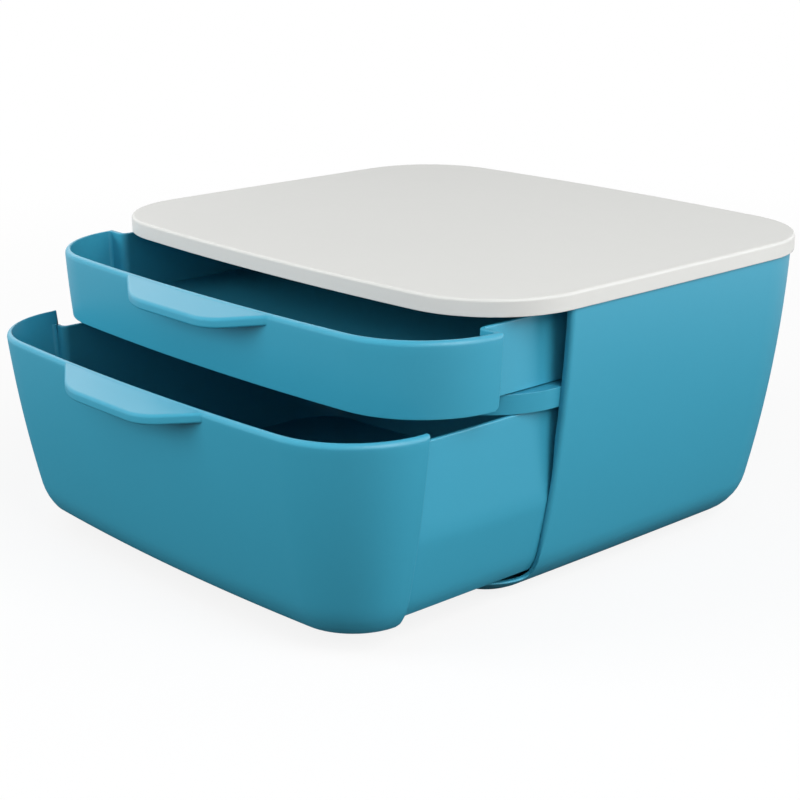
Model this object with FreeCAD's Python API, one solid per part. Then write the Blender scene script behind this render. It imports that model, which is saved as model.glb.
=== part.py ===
"""Desktop file box: a rounded shell with a lid, a divider shelf and two drawers.

Millimetres. X runs across the box, +X to the right seen from the front, the fronts face -Y,
and +Z is up. z = 0 is the desk, and the origin is at the middle of the footprint.

Plan view: every level of the body is a rounded rectangle whose four sides are bowed. Its
outline is made of eight tangent arcs, and a level further down is the same eight arcs, each
with a smaller radius about the same centre. A wall is therefore a side profile turned about
each of the eight centres in turn, and a wall inside another one is an offset of that profile.

The drawers are drawn shut and then pulled out by upper_open and lower_open.
"""
import FreeCAD, Part
import math
import os

V = FreeCAD.Vector
UP = V(0, 0, 1)
ORIGIN = V(0, 0, 0)

# ---- overall sizes ----
body_width = 367.0          # side to side at the top of the body
body_depth = 317.0          # front to back at the top of the body
body_height = 178.0
foot_height = 2.0           # how far the feet hold the body off the desk
lid_thickness = 10.0

# ---- plan outline at the top of the body ----
front_bow_radius = 1700.0   # front and back
side_bow_radius = 10000.0   # left and right
flat_corner_radius = 7.1    # corner of the flat underside, the smallest level

# ---- side profile of the body ----
top_draft = 2.3             # degrees from upright at the top edge
wall_curve_radius = 820.0   # long curve that leans inwards
bottom_curve_height = 28.0  # height over which the wall turns under

# ---- shell ----
shell_wall = 2.6
seam_behind_corner = 3.1    # from the corner's centre back to the front edge of the sides
base_rim_height = 11.5      # the base in front of the seam, above the underside
base_rim_round = 4.0        # where the front edge turns into the base rim

# ---- lid ----
lid_overhang = 1.5
lid_set_back = 1.3
lid_skin = 3.0
lid_edge_round = 1.8
lid_lip_depth = 3.0         # locating lip inside the shell
lid_lip_wall = 1.8
lid_rib = 2.0
lid_rib_depth = 4.0
lid_rib_spacing = 45.0

# ---- divider shelf ----
shelf_over_rim = 4.0        # shelf's top above the lower drawer's rim
shelf_skirt = 12.0          # depth of the shelf's turned-down edge
shelf_wall = 2.5
shelf_front_gap = 1.0       # between the shelf's edge and the drawer fronts
shelf_rib = 2.0
shelf_rib_depth = 5.0
shelf_rib_spacing = 45.0
glide_height = 0.6          # ridges that the upper drawer slides on
glide_width = 3.0
glide_spread = 240.0
glide_length = 150.0
guide_wall = 1.5            # ribs that keep the upper drawer from drifting sideways
guide_height = 3.0
guide_length = 36.0

# ---- drawers ----
side_space = 16.3           # from the body's widest outline to a drawer's upright side
back_space = 1.4            # between a drawer's back and the shelf's edge
box_wall = 2.5
front_wall = 3.5
box_floor = 2.5
jog_wall = 3.0              # wall that joins the wrapped front to the narrower box
wing_gap = 0.7              # between the wrapped front and the shell's front edge
rim_round = 3.0
box_gap = 0.8               # between a drawer's leaning sides and the shell
running_gap = 0.3           # between a drawer and what it slides on or beside
wing_corner_round = 4.0     # lower back corner of the wrapped front
upper_rim_below_top = 4.0   # upper drawer's rim below the top of the body
lower_rim_z = 130.0
lower_side_step = 8.5       # the lower drawer's box stands lower than its front
front_gap = 2.6             # between the two fronts
base_gap = 1.0              # between the lower front and the base
front_skirt = 3.8           # how far the lower front reaches below its box
upper_open = 53.0
lower_open = 103.0
travel = 180.0              # from shut to the stop

# ---- pull tabs ----
tab_root_width = 129.0
tab_front_width = 73.0
tab_reach = 19.2
tab_thickness = 6.4
tab_slope = 12.0             # degrees down towards the front edge
tab_corner_round = 42.0
tab_edge_round = 2.0
tab_below_rim = 1.4

# ---- drawer stops ----
stop_play = 0.5             # left at the stop when a drawer is right out
stop_tab_width = 24.0
stop_tab_height = 6.5       # above the drawer's back
stop_overlap = 2.6

# ---- runners under the lower drawer ----
runner_width = 3.0
runner_spread = 190.0
runner_front_space = 40.0   # from the front and back outline to a runner's ends

# ---- posts, bosses and screws ----
fixing_spacing = 72.0       # along each side
post_width = 12.0
post_height = 26.0
shelf_boss_diameter = 6.6
lid_boss_diameter = 8.0
lid_boss_height = 12.0
screw_diameter = 2.6
screw_head_diameter = 5.0
screw_head_height = 1.8
screw_hole_gap = 0.2        # around the shank in the piece that is held
screw_grip = 7.0            # length in the piece that holds the thread
recess_width = 0.8
recess_length = 3.0
recess_depth = 1.0

# ---- feet ----
foot_diameter = 14.0
foot_seat_depth = 1.0
foot_seat_gap = 0.2
foot_edge_round = 0.8
foot_spread_x = 212.0
foot_spread_y = 156.0

# ---- levels ----
body_low_z = foot_height
body_top_z = body_low_z + body_height
lid_top_z = body_top_z + lid_thickness
base_rim_z = body_low_z + base_rim_height
lower_front_low_z = base_rim_z + base_gap
lower_box_low_z = lower_front_low_z + front_skirt
lower_wall_top_z = lower_rim_z - lower_side_step
shelf_top_z = lower_rim_z + shelf_over_rim
shelf_low_z = shelf_top_z - shelf_skirt
upper_front_low_z = lower_rim_z + front_gap
upper_box_low_z = shelf_top_z + glide_height + running_gap
upper_rim_z = body_top_z - upper_rim_below_top
lid_inner_z = lid_top_z - lid_skin

# ---- side profile, worked out ----
top_angle = math.radians(top_draft)
wall_curve_drop = body_height - bottom_curve_height
turn_angle = math.asin(wall_curve_drop / wall_curve_radius + math.sin(top_angle))
bottom_curve_radius = bottom_curve_height / (1 - math.sin(turn_angle))
wall_centre = (-wall_curve_radius * math.cos(top_angle),
               body_top_z + wall_curve_radius * math.sin(top_angle))
bottom_centre = (wall_centre[0] + (wall_curve_radius - bottom_curve_radius) * math.cos(turn_angle),
                 wall_centre[1] - (wall_curve_radius - bottom_curve_radius) * math.sin(turn_angle))
corner_radius = flat_corner_radius - bottom_centre[0]
over = body_width + body_depth      # longer than the box, for cutting blocks
above = 2.0                         # how far a hollow is cut past an open rim


# ---------------------------------------------------------------- plan and profile

def plan_centres():
    """Centres of the front arc, the right side arc and the front right corner arc."""
    front = (0.0, front_bow_radius - body_depth / 2)
    side = (body_width / 2 - side_bow_radius, 0.0)
    from_front = front_bow_radius - corner_radius
    from_side = side_bow_radius - corner_radius
    dx, dy = side[0] - front[0], side[1] - front[1]
    span = math.hypot(dx, dy)
    along = (from_front ** 2 - from_side ** 2 + span ** 2) / (2 * span)
    across = math.sqrt(from_front ** 2 - along ** 2)
    corner = (front[0] + (along * dx - across * dy) / span,
              front[1] + (along * dy + across * dx) / span)
    return front, side, corner


front_centre, side_centre, corner_centre = plan_centres()


def angle_from(centre, point):
    return math.degrees(math.atan2(point[1] - centre[1], point[0] - centre[0]))


def plan_arcs():
    """The eight arcs: centre, radius at the body's top edge, start angle and sweep."""
    front_end = angle_from(front_centre, corner_centre)
    side_start = angle_from(side_centre, corner_centre)
    front_sweep = 2 * (front_end + 90)
    side_sweep = -2 * side_start
    corner_sweep = side_start - front_end
    arcs = []
    for half in (0, 180):           # front and right half, then the back and left half
        sign = 1 if half == 0 else -1
        front = (0.0, sign * front_centre[1])
        side = (sign * side_centre[0], 0.0)
        near = (sign * corner_centre[0], sign * corner_centre[1])
        away = (sign * corner_centre[0], -sign * corner_centre[1])
        arcs.append((front, front_bow_radius, half - 180 - front_end, front_sweep))
        arcs.append((near, corner_radius, half + front_end, corner_sweep))
        arcs.append((side, side_bow_radius, half + side_start, side_sweep))
        arcs.append((away, corner_radius, half - side_start, corner_sweep))
    return arcs


seam_y = corner_centre[1] + seam_behind_corner
wing_back_y = seam_y - wing_gap


def lean(inset, z):
    """How far a wall, set in by inset from the body's skin, lies inside the top outline."""
    turn_z = wall_centre[1] - (wall_curve_radius - inset) * math.sin(turn_angle)
    centre, radius = wall_centre, wall_curve_radius - inset
    if z < turn_z:
        centre, radius = bottom_centre, bottom_curve_radius - inset
    return -centre[0] - math.sqrt(radius ** 2 - (centre[1] - z) ** 2)


shelf_inset = front_wall + shelf_front_gap
box_half = body_width / 2 - side_space
box_inset = shell_wall + box_gap
box_back_y = body_depth / 2 - lean(shelf_inset + shelf_wall, shelf_low_z) - back_space
shelf_edge_x = body_width / 2 - lean(shelf_inset, shelf_low_z)
stop_y = box_back_y - box_wall - travel - stop_play      # rear face of the stop ribs
shelf_screw_x = (box_half + shelf_edge_x) / 2
lid_screw_x = (box_half + body_width / 2 - lean(shell_wall, body_top_z - lid_boss_height)) / 2
fixing_places = [step * fixing_spacing for step in (-1, 0, 1)]


def plan_wire(shift, z):
    """Outline of the body's top, moved out by shift, at height z."""
    edges = []
    for (x, y), radius, start, sweep in plan_arcs():
        circle = Part.Circle(V(x, y, z), UP, radius + shift)
        edges.append(circle.toShape(math.radians(start), math.radians(start + sweep)))
    return Part.Wire(Part.sortEdges(edges)[0])


def slab(shift, z_low, z_high):
    """Upright block with the body's outline."""
    return Part.Face(plan_wire(shift, z_low)).extrude(V(0, 0, z_high - z_low))


def profile_arc(centre, radius, start, end):
    """Arc in the XZ plane. The angles are in radians below level."""
    points = [V(centre[0] + radius * math.cos(angle), 0, centre[1] - radius * math.sin(angle))
              for angle in (start, (start + end) / 2, end)]
    return Part.Arc(*points).toShape(), points[0].x, points[2].x


def side_profile(inset, z_low, z_high, top_round):
    """Edges of the side profile from the top down, and where its two ends lie."""
    wall_radius = wall_curve_radius - inset
    start = math.asin((wall_centre[1] - z_high + top_round) / (wall_radius - top_round))
    arcs = []
    if top_round:
        reach = wall_radius - top_round
        round_centre = (wall_centre[0] + reach * math.cos(start), z_high - top_round)
        arcs.append(profile_arc(round_centre, top_round, -math.pi / 2, start))
    turn_z = wall_centre[1] - wall_radius * math.sin(turn_angle)
    if z_low >= turn_z:
        end = math.asin((wall_centre[1] - z_low) / wall_radius)
        arcs.append(profile_arc(wall_centre, wall_radius, start, end))
    else:
        bottom_radius = bottom_curve_radius - inset
        end = math.asin(min(1.0, (bottom_centre[1] - z_low) / bottom_radius))
        arcs.append(profile_arc(wall_centre, wall_radius, start, turn_angle))
        arcs.append(profile_arc(bottom_centre, bottom_radius, turn_angle, end))
    return [arc[0] for arc in arcs], arcs[0][1], arcs[-1][2]


def tub(inset, z_low, z_high, top_round=0.0):
    """Solid whose side is the body's skin set in by inset, between two levels."""
    edges, top_shift, low_shift = side_profile(inset, z_low, z_high, top_round)
    faces = [Part.Face(plan_wire(top_shift, z_high)), Part.Face(plan_wire(low_shift, z_low))]
    for (x, y), radius, start, sweep in plan_arcs():
        for edge in edges:
            section = edge.copy()
            section.translate(V(radius, 0, 0))
            section.rotate(ORIGIN, UP, start)
            section.translate(V(x, y, 0))
            faces += section.revolve(V(x, y, 0), UP, sweep).Faces
    shell = Part.makeShell(faces)
    shell.sewShape()
    solid = Part.makeSolid(shell)
    if solid.Volume < 0:
        solid.reverse()
    return solid


# ---------------------------------------------------------------- small tools

def block(x_low, x_high, y_low, y_high, z_low, z_high):
    return Part.makeBox(x_high - x_low, y_high - y_low, z_high - z_low, V(x_low, y_low, z_low))


def centred(width, y_low, y_high, z_low, z_high):
    """Block that is centred on x = 0."""
    return block(-width / 2, width / 2, y_low, y_high, z_low, z_high)


def rod(x, y, z_low, z_high, diameter):
    return Part.makeCylinder(diameter / 2, z_high - z_low, V(x, y, z_low), UP)


def rounded(shape, radius, wanted):
    """Rounds the edges that wanted(edge) picks."""
    return shape.makeFillet(radius, [edge for edge in shape.Edges if wanted(edge)])


def sides(shape):
    """The shape and its mirror image on the other side of the box."""
    return [shape, shape.mirror(ORIGIN, V(1, 0, 0))]


def along_y(edge, y):
    """True for an edge that lies in the plane y."""
    return all(abs(vertex.Y - y) < 1e-4 for vertex in edge.Vertexes) and \
        abs(edge.CenterOfMass.y - y) < 1e-4


def at_z(edge, z):
    box = edge.BoundBox
    return abs(box.ZMin - z) < 1e-3 and abs(box.ZMax - z) < 1e-3


def save(name, shape):
    shape.exportStep("parts/" + name + ".step")
    print(name, len(shape.Solids), "solid(s)", round(shape.Volume), "mm3",
          "valid" if shape.isValid() else "NOT VALID")


# ---------------------------------------------------------------- shell

def front_cutter():
    """Takes the sides away in front of the seam, with a rounded inner corner above the base."""
    cutter = block(-over, over, -over, seam_y, base_rim_z, body_top_z + above)
    return rounded(cutter, base_rim_round,
                   lambda edge: along_y(edge, seam_y) and at_z(edge, base_rim_z))


def shelf_posts():
    """Posts on the side walls that carry the shelf."""
    posts = []
    for y in fixing_places:
        post = block(box_half + running_gap, over, y - post_width / 2, y + post_width / 2,
                     shelf_low_z - post_height, shelf_low_z)
        posts += sides(post)
    return posts


def lid_posts():
    """Bosses high on the side walls that the lid is screwed to."""
    z_high = body_top_z - lid_lip_depth
    z_low = z_high - lid_boss_height
    bosses = []
    for y in fixing_places:
        boss = rod(lid_screw_x, y, z_low, z_high, lid_boss_diameter)
        web = block(lid_screw_x, over, y - lid_boss_diameter / 2, y + lid_boss_diameter / 2,
                    z_low, z_high)
        bosses += sides(boss.fuse(web))
    return bosses


def runners():
    """Two ribs on the floor that the lower drawer slides on."""
    reach = body_depth / 2 - runner_front_space
    rib = block(runner_spread / 2 - runner_width / 2, runner_spread / 2 + runner_width / 2,
                -reach, reach, body_low_z, lower_box_low_z - running_gap)
    return sides(rib)


def foot_places():
    return [(name, x * foot_spread_x / 2, y * foot_spread_y / 2)
            for name, x, y in (("front_left", -1, -1), ("front_right", 1, -1),
                               ("rear_left", -1, 1), ("rear_right", 1, 1))]


def make_shell():
    shell = tub(0, body_low_z, body_top_z)
    shell = shell.cut(tub(shell_wall, body_low_z + shell_wall, body_top_z + above))
    shell = shell.cut(front_cutter())
    inside = tub(shell_wall / 2, body_low_z + shell_wall / 2, body_top_z)
    additions = [piece.common(inside) for piece in shelf_posts() + lid_posts() + runners()]
    shell = shell.fuse(additions).removeSplitter()
    holes = []
    for y in fixing_places:
        grip = rod(shelf_screw_x, y, shelf_low_z - screw_grip, shelf_low_z, screw_diameter)
        clear = rod(lid_screw_x, y, body_top_z - lid_lip_depth - lid_boss_height,
                    body_top_z - lid_lip_depth, screw_diameter + 2 * screw_hole_gap)
        holes += sides(grip) + sides(clear)
    for name, x, y in foot_places():
        holes.append(rod(x, y, body_low_z, body_low_z + foot_seat_depth,
                         foot_diameter + 2 * foot_seat_gap))
    return shell.cut(holes)


# ---------------------------------------------------------------- lid

def make_lid():
    lid = slab(lid_overhang, body_top_z, lid_top_z)
    lid = rounded(lid, lid_edge_round, lambda edge: at_z(edge, lid_top_z))
    lid = lid.cut(slab(lid_overhang - lid_skin, body_top_z, lid_inner_z))
    lid.translate(V(0, lid_set_back, 0))

    lip_low = body_top_z - lid_lip_depth
    lip_shift = -shell_wall - running_gap
    lip = slab(lip_shift, lip_low, lid_inner_z)
    lip = lip.cut(slab(lip_shift - lid_lip_wall, lip_low, lid_inner_z))
    lip = lip.common(block(-over, over, seam_y + lid_lip_depth, over, lip_low, lid_inner_z))

    room = slab(lid_overhang - lid_skin / 2, lip_low, lid_inner_z + lid_skin / 2)
    room.translate(V(0, lid_set_back, 0))
    ribs = []
    for step in (1, 2, 3):
        x = step * lid_rib_spacing
        ribs += sides(block(x - lid_rib / 2, x + lid_rib / 2, -over, over,
                            lid_inner_z - lid_rib_depth, lid_inner_z))
    tab_top = upper_rim_z + stop_tab_height
    stop = centred(2 * lid_rib_spacing, stop_y - lid_rib, stop_y,
                   tab_top - stop_overlap, lid_inner_z)
    for y in fixing_places:
        ribs += sides(rod(lid_screw_x, y, lip_low, lid_inner_z, lid_boss_diameter))
    additions = [piece.common(room) for piece in ribs + [stop]]
    lid = lid.fuse([lip] + additions).removeSplitter()
    holes = []
    for y in fixing_places:
        holes += sides(rod(lid_screw_x, y, lip_low, lip_low + screw_grip, screw_diameter))
    return lid.cut(holes)


# ---------------------------------------------------------------- divider shelf

def make_shelf():
    plate_low = shelf_top_z - shelf_wall
    shelf = tub(shelf_inset, shelf_low_z, shelf_top_z)
    shelf = shelf.cut(tub(shelf_inset + shelf_wall, shelf_low_z, plate_low))
    room = tub(shelf_inset + shelf_wall / 2, shelf_low_z, shelf_top_z)
    pieces = []
    for step in (1, 2, 3):
        x = step * shelf_rib_spacing
        pieces += sides(block(x - shelf_rib / 2, x + shelf_rib / 2, -over, over,
                              plate_low - shelf_rib_depth, plate_low))
    tab_top = lower_wall_top_z + stop_tab_height
    pieces.append(centred(2 * shelf_rib_spacing, stop_y - shelf_rib, stop_y,
                          tab_top - stop_overlap, plate_low))
    for y in fixing_places:
        pieces += sides(rod(shelf_screw_x, y, shelf_low_z, plate_low, shelf_boss_diameter))
    additions = [piece.common(room) for piece in pieces]
    glide = block(glide_spread / 2 - glide_width / 2, glide_spread / 2 + glide_width / 2,
                  -glide_length / 2, glide_length / 2, plate_low, shelf_top_z + glide_height)
    additions += sides(glide)
    guide_x = box_half + running_gap
    for y in ((fixing_places[0] + fixing_places[1]) / 2, (fixing_places[1] + fixing_places[2]) / 2):
        additions += sides(block(guide_x, guide_x + guide_wall, y - guide_length / 2,
                                 y + guide_length / 2, plate_low, shelf_top_z + guide_height))
    shelf = shelf.fuse(additions).removeSplitter()
    holes = []
    for y in fixing_places:
        holes += sides(rod(shelf_screw_x, y, shelf_low_z, shelf_top_z,
                           screw_diameter + 2 * screw_hole_gap))
    return shelf.cut(holes)


# ---------------------------------------------------------------- drawers

def pull_tab(rim_z):
    """Flat pull on a drawer's front: a sloping plate that narrows forwards, with round corners."""
    top_z = rim_z - tab_below_rim
    front_y = -body_depth / 2 + lean(0, top_z)
    bow = (tab_root_width / 2) ** 2 / (2 * front_bow_radius)
    root_y = front_y + max(front_wall, bow + front_wall) / 2
    slope = (tab_root_width - tab_front_width) / 2 / tab_reach
    root_half = tab_root_width / 2 + slope * (root_y - front_y)
    points = [V(-root_half, root_y, 0), V(-tab_front_width / 2, front_y - tab_reach, 0),
              V(tab_front_width / 2, front_y - tab_reach, 0), V(root_half, root_y, 0)]
    outline = Part.makePolygon(points + points[:1])
    plate = Part.Face(outline).extrude(V(0, 0, tab_thickness))
    plate.translate(V(0, 0, top_z - tab_thickness))
    plate = rounded(plate, tab_corner_round,
                    lambda edge: edge.BoundBox.ZLength > tab_thickness / 2
                    and edge.CenterOfMass.y < front_y)
    plate = rounded(plate, tab_edge_round, lambda edge: edge.BoundBox.ZLength < 1e-3
                    and edge.CenterOfMass.y < root_y - 1e-3)
    plate.rotate(V(0, front_y, top_z), V(1, 0, 0), tab_slope)
    return plate


def make_tray(rim_z, front_low_z, box_low_z, wall_top_z):
    """One drawer, shut: a front that wraps round both corners, and a narrower box behind it."""
    floor_z = box_low_z + box_floor
    reach = block(-over, over, -over, wing_back_y, front_low_z, rim_z)
    reach = rounded(reach, wing_corner_round,
                    lambda edge: along_y(edge, wing_back_y) and at_z(edge, front_low_z))
    front = tub(0, front_low_z, rim_z, rim_round).common(reach)
    box = tub(box_inset, box_low_z, wall_top_z)
    box = box.common(centred(2 * box_half, wing_back_y - jog_wall, box_back_y,
                             box_low_z, wall_top_z))
    stop_tab = centred(stop_tab_width, box_back_y - box_wall, box_back_y,
                       wall_top_z - stop_tab_height, wall_top_z + stop_tab_height)
    open_z = rim_z + above
    front_hollow = tub(front_wall, floor_z, open_z)
    front_hollow = front_hollow.common(block(-over, over, -over, wing_back_y - jog_wall,
                                             floor_z, open_z))
    box_hollow = tub(box_inset + box_wall, floor_z, open_z)
    box_hollow = box_hollow.common(centred(2 * (box_half - box_wall), wing_back_y - 2 * jog_wall,
                                           box_back_y - box_wall, floor_z, open_z))
    hollow = front_hollow.fuse(box_hollow)
    under = tub(front_wall, front_low_z, box_low_z)
    under = under.common(block(-over, over, -over, wing_back_y, front_low_z, box_low_z))
    cuts = [hollow, under]
    if wall_top_z < rim_z:
        step = tub(front_wall, wall_top_z, open_z)
        cuts.append(step.common(block(-over, over, -over, wing_back_y, wall_top_z, open_z)))
    tray = front.fuse(box).cut(cuts)
    tray = tray.fuse([stop_tab, pull_tab(rim_z)]).removeSplitter()
    return tray


# ---------------------------------------------------------------- feet and screws

def make_foot(x, y):
    foot = rod(x, y, 0, body_low_z + foot_seat_depth, foot_diameter)
    return rounded(foot, foot_edge_round, lambda edge: at_z(edge, 0))


def make_screw(x, y, seat_z, shank_length, way):
    """Pan head screw. Its head's underside is at seat_z, and way is +1 if the head is on top."""
    shank_end = seat_z - way * shank_length
    head_end = seat_z + way * screw_head_height
    shank = rod(x, y, min(seat_z, shank_end), max(seat_z, shank_end), screw_diameter)
    head = rod(x, y, min(seat_z, head_end), max(seat_z, head_end), screw_head_diameter)
    head = rounded(head, screw_head_height / 2, lambda edge: at_z(edge, head_end))
    recess_end = head_end - way * recess_depth
    low, high = min(head_end, recess_end), max(head_end, recess_end)
    arms = [block(x - length / 2, x + length / 2, y - width / 2, y + width / 2, low, high)
            for length, width in ((recess_length, recess_width), (recess_width, recess_length))]
    return shank.fuse(head).cut(arms)


def screw_group(x, seat_z, shank_length, way):
    screws = []
    for y in fixing_places:
        screws += [make_screw(side * x, y, seat_z, shank_length, way) for side in (1, -1)]
    return Part.makeCompound(screws)


# ---------------------------------------------------------------- the whole box

def main():
    os.makedirs("parts", exist_ok=True)
    save("outer_shell", make_shell())
    save("top_lid", make_lid())
    save("divider_shelf", make_shelf())
    for name, x, y in foot_places():
        save(name + "_foot", make_foot(x, y))
    save("shelf_screws", screw_group(shelf_screw_x, shelf_top_z, shelf_skirt + screw_grip, 1))
    save("lid_screws", screw_group(lid_screw_x, body_top_z - lid_lip_depth - lid_boss_height,
                                   lid_boss_height + screw_grip, -1))
    upper = make_tray(upper_rim_z, upper_front_low_z, upper_box_low_z, upper_rim_z)
    upper.translate(V(0, -upper_open, 0))
    save("upper_drawer_tray", upper)
    lower = make_tray(lower_rim_z, lower_front_low_z, lower_box_low_z, lower_wall_top_z)
    lower.translate(V(0, -lower_open, 0))
    save("lower_drawer_tray", lower)


main()
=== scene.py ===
"""Desktop file box with two drawers: materials, fine detail, stage and camera.

Metres. X runs across the box, the fronts face -Y, and +Z is up from the desk. The lines and heights of
the mouldings are worked out in millimetres, up to where a mesh is made of them.
"""
import math

import bmesh
import bpy
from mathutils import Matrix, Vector


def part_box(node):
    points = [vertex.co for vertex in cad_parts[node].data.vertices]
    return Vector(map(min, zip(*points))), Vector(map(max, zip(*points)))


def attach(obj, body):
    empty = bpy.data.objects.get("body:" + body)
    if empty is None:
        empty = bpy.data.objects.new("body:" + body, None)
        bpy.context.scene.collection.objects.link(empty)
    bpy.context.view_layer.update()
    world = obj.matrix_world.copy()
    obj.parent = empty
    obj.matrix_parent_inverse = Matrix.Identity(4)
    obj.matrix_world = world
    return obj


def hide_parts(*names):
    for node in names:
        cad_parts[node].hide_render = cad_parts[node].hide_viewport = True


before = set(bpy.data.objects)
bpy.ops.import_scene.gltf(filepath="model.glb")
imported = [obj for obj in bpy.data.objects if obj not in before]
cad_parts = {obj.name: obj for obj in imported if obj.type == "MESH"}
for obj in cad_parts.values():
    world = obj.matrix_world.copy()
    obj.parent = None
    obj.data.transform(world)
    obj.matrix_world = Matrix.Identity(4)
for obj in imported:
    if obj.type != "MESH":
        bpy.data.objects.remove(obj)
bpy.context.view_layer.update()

bl_info = {
    "name": "File Box With Drawers",
    "version": (1, 0, 0),
    "blender": (4, 5, 0),
    "location": "View3D > Sidebar > File Box",
    "description": "Finishes a moulded desktop file box with two sliding drawers",
    "category": "Object",
}

BLUE = (0.036, 0.295, 0.430)
LID_WHITE = (0.590, 0.593, 0.575)
RUBBER = (0.020, 0.020, 0.022)
ZINC = (0.56, 0.57, 0.58)


# ---------------------------------------------------------------- settings

class FileBoxFinish(bpy.types.PropertyGroup):
    """Colours and surface of the mouldings."""
    body_colour: bpy.props.FloatVectorProperty(
        name="Body colour", description="Blue of the shell, the shelf and the drawers",
        subtype="COLOR", size=3, min=0.0, max=1.0, default=BLUE)
    lid_colour: bpy.props.FloatVectorProperty(
        name="Lid colour", description="Off-white of the lid",
        subtype="COLOR", size=3, min=0.0, max=1.0, default=LID_WHITE)
    foot_colour: bpy.props.FloatVectorProperty(
        name="Foot colour", description="Rubber of the feet",
        subtype="COLOR", size=3, min=0.0, max=1.0, default=RUBBER)
    screw_colour: bpy.props.FloatVectorProperty(
        name="Screw colour", description="Zinc of the screws",
        subtype="COLOR", size=3, min=0.0, max=1.0, default=ZINC)
    body_roughness: bpy.props.FloatProperty(
        name="Body roughness", description="Roughness of the blue mouldings",
        min=0.0, max=1.0, default=0.40)
    lid_roughness: bpy.props.FloatProperty(
        name="Lid roughness", description="Roughness of the lid",
        min=0.0, max=1.0, default=0.48)
    edge_radius: bpy.props.FloatProperty(
        name="Edge radius", description="Rounding that the light picks up on sharp edges",
        subtype="DISTANCE", min=0.0, default=0.0006)
    grain_size: bpy.props.FloatProperty(
        name="Grain size", description="Width of one grain of the moulded texture",
        subtype="DISTANCE", min=0.0001, default=0.0011)


class FileBoxStage(bpy.types.PropertyGroup):
    """Camera, lights and floor."""
    heading: bpy.props.FloatProperty(
        name="Heading", description="Camera's turn round the box from straight in front",
        subtype="ANGLE", default=math.radians(47.15))
    tilt: bpy.props.FloatProperty(
        name="Tilt", description="Camera's angle down from level",
        subtype="ANGLE", default=math.radians(17.12))
    camera_place: bpy.props.FloatVectorProperty(
        name="Camera place", description="Where the camera stands",
        subtype="TRANSLATION", size=3, default=(0.81198, -0.80122, 0.41918))
    lens: bpy.props.FloatProperty(
        name="Lens", description="Focal length in millimetres on a 36 mm sensor",
        min=1.0, default=80.39)
    floor_size: bpy.props.FloatProperty(
        name="Floor size", description="Width of the floor",
        subtype="DISTANCE", min=1.0, default=60.0)
    sky_strength: bpy.props.FloatProperty(
        name="Sky strength", description="Even light from all round", min=0.0, default=0.08)
    side_power: bpy.props.FloatProperty(
        name="Side power", min=0.0,
        description="Watts of a light beside or behind the box that has a share of 1", default=31.0)
    front_power: bpy.props.FloatProperty(
        name="Front power", min=0.0,
        description="Watts of a light in front of the box that has a share of 1", default=32.0)


# ---------------------------------------------------------------- plan and profile, in millimetres

MM = 0.001
BODY_LOW, BODY_TOP = 2.0, 180.0
BODY_WIDTH, BODY_DEPTH = 367.0, 317.0       # at the top of the shell
FRONT_BOW, SIDE_BOW = 1700.0, 10000.0       # radii of the bowed sides
FLAT_CORNER = 7.1                           # corner radius of the flat underside
TOP_DRAFT = math.radians(2.3)
WALL_CURVE, TURN_HEIGHT = 820.0, 28.0       # the wall's bow, and where it starts to turn under

TURN = math.asin((BODY_TOP - BODY_LOW - TURN_HEIGHT) / WALL_CURVE + math.sin(TOP_DRAFT))
LOW_CURVE = TURN_HEIGHT / (1 - math.sin(TURN))
WALL_CENTRE = (-WALL_CURVE * math.cos(TOP_DRAFT), BODY_TOP + WALL_CURVE * math.sin(TOP_DRAFT))
LOW_CENTRE = (WALL_CENTRE[0] + (WALL_CURVE - LOW_CURVE) * math.cos(TURN),
              WALL_CENTRE[1] - (WALL_CURVE - LOW_CURVE) * math.sin(TURN))
CORNER = FLAT_CORNER - LOW_CENTRE[0]        # corner radius at the top of the shell
FRONT_CENTRE = (0.0, FRONT_BOW - BODY_DEPTH / 2)
SIDE_CENTRE = (BODY_WIDTH / 2 - SIDE_BOW, 0.0)


def corner_place():
    """Centre of the front right corner, which both bows touch."""
    from_front, from_side = FRONT_BOW - CORNER, SIDE_BOW - CORNER
    dx, dy = SIDE_CENTRE[0] - FRONT_CENTRE[0], SIDE_CENTRE[1] - FRONT_CENTRE[1]
    span = math.hypot(dx, dy)
    along = (from_front ** 2 - from_side ** 2 + span ** 2) / (2 * span)
    across = math.sqrt(from_front ** 2 - along ** 2)
    return (FRONT_CENTRE[0] + (along * dx - across * dy) / span,
            FRONT_CENTRE[1] + (along * dy + across * dx) / span)


CORNER_X, CORNER_Y = corner_place()
FRONT_END = math.atan2(CORNER_Y - FRONT_CENTRE[1], CORNER_X - FRONT_CENTRE[0])
SIDE_START = math.atan2(CORNER_Y - SIDE_CENTRE[1], CORNER_X - SIDE_CENTRE[0])
SEAM = CORNER_Y + 3.1               # front edge of the shell's sides
WING_END = SEAM - 0.7               # back edge of a drawer's wrapped front


def clamp(value, low=0.0, high=1.0):
    return min(max(value, low), high)


def blend(low, high, part):
    return low + (high - low) * part


def parts(count):
    """Shares of a stretch divided in count: 1 / count, 2 / count and so on up to 1."""
    return [step / count for step in range(1, count + 1)]


def ease(value, low, high):
    """0 below low, 1 above high, and smooth between them."""
    part = clamp((value - low) / (high - low))
    return part * part * (3 - 2 * part)


def quarter(part):
    """Way across and way up a quarter of a unit circle that starts upright and ends level."""
    angle = math.pi / 2 * part
    return 1 - math.cos(angle), math.sin(angle)


def lean(inset, z):
    """How far a wall, set in by inset, lies inside the body's top outline at height z."""
    turn_z = WALL_CENTRE[1] - (WALL_CURVE - inset) * math.sin(TURN)
    centre, radius = WALL_CENTRE, WALL_CURVE - inset
    if z < turn_z:
        centre, radius = LOW_CENTRE, LOW_CURVE - inset
    return -centre[0] - math.sqrt(max(radius ** 2 - (centre[1] - z) ** 2, 0.0))


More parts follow.
